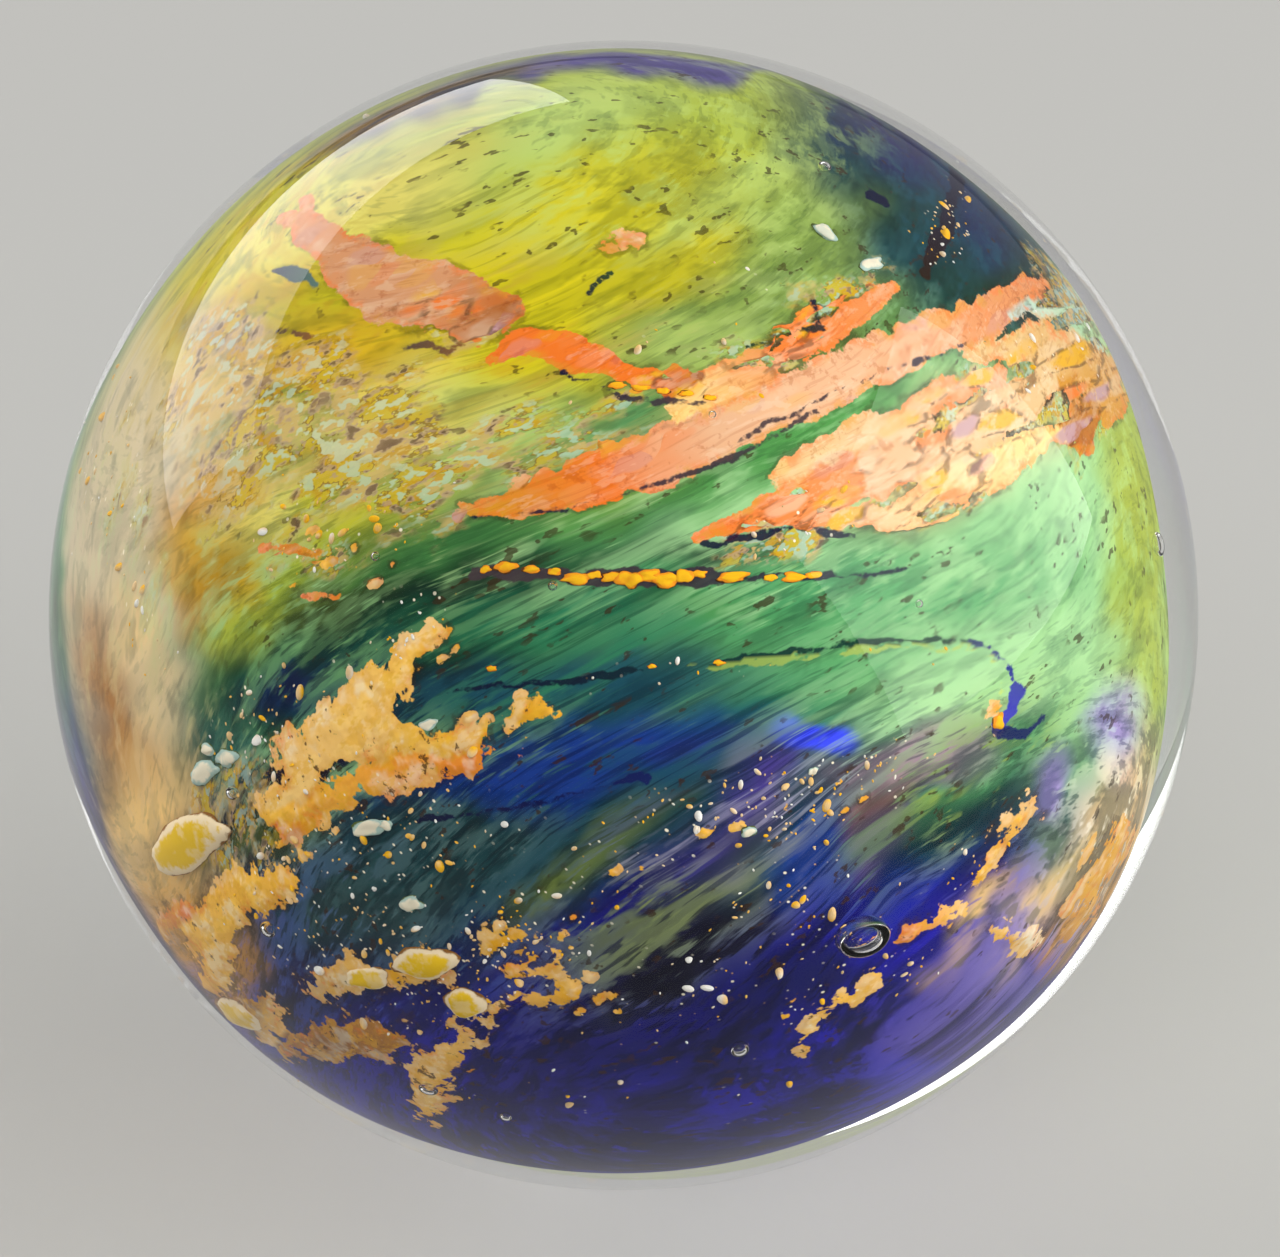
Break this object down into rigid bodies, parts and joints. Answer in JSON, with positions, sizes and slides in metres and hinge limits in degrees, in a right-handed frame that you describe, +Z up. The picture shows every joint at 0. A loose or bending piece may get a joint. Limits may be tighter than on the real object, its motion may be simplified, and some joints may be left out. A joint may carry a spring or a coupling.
{
  "type": "glass marble",
  "caption": "solid ball of clear glass sealed round an opaque core, with swirled fields of green, lime, blue and orange glass and gold flakes",
  "frame": {"origin": "the centre of the marble", "axes": "+Z is up and -Y is the front, the side that shows the orange ribbons above and the blue below"},
  "size_m": [0.038, 0.038, 0.038],
  "materials": {
    "clear_glass": "polished clear glass",
    "green_glass": "opaque streaky green glass",
    "lime_glass": "opaque lime to olive glass",
    "cobalt_glass": "deep blue glass",
    "navy_glass": "near-black blue glass",
    "orange_glass": "opaque orange to salmon glass",
    "gold_flake": "gold-coloured crust in the glass"
  },
  "bodies": {
    "root": {"clear_casing": "clear_glass", "green_core": "green_glass", "lime_glass": "lime_glass", "cobalt_glass": "cobalt_glass", "navy_glass": "navy_glass", "orange_glass": "orange_glass", "gold_flakes": "gold_flake"}
  },
  "joints": []
}
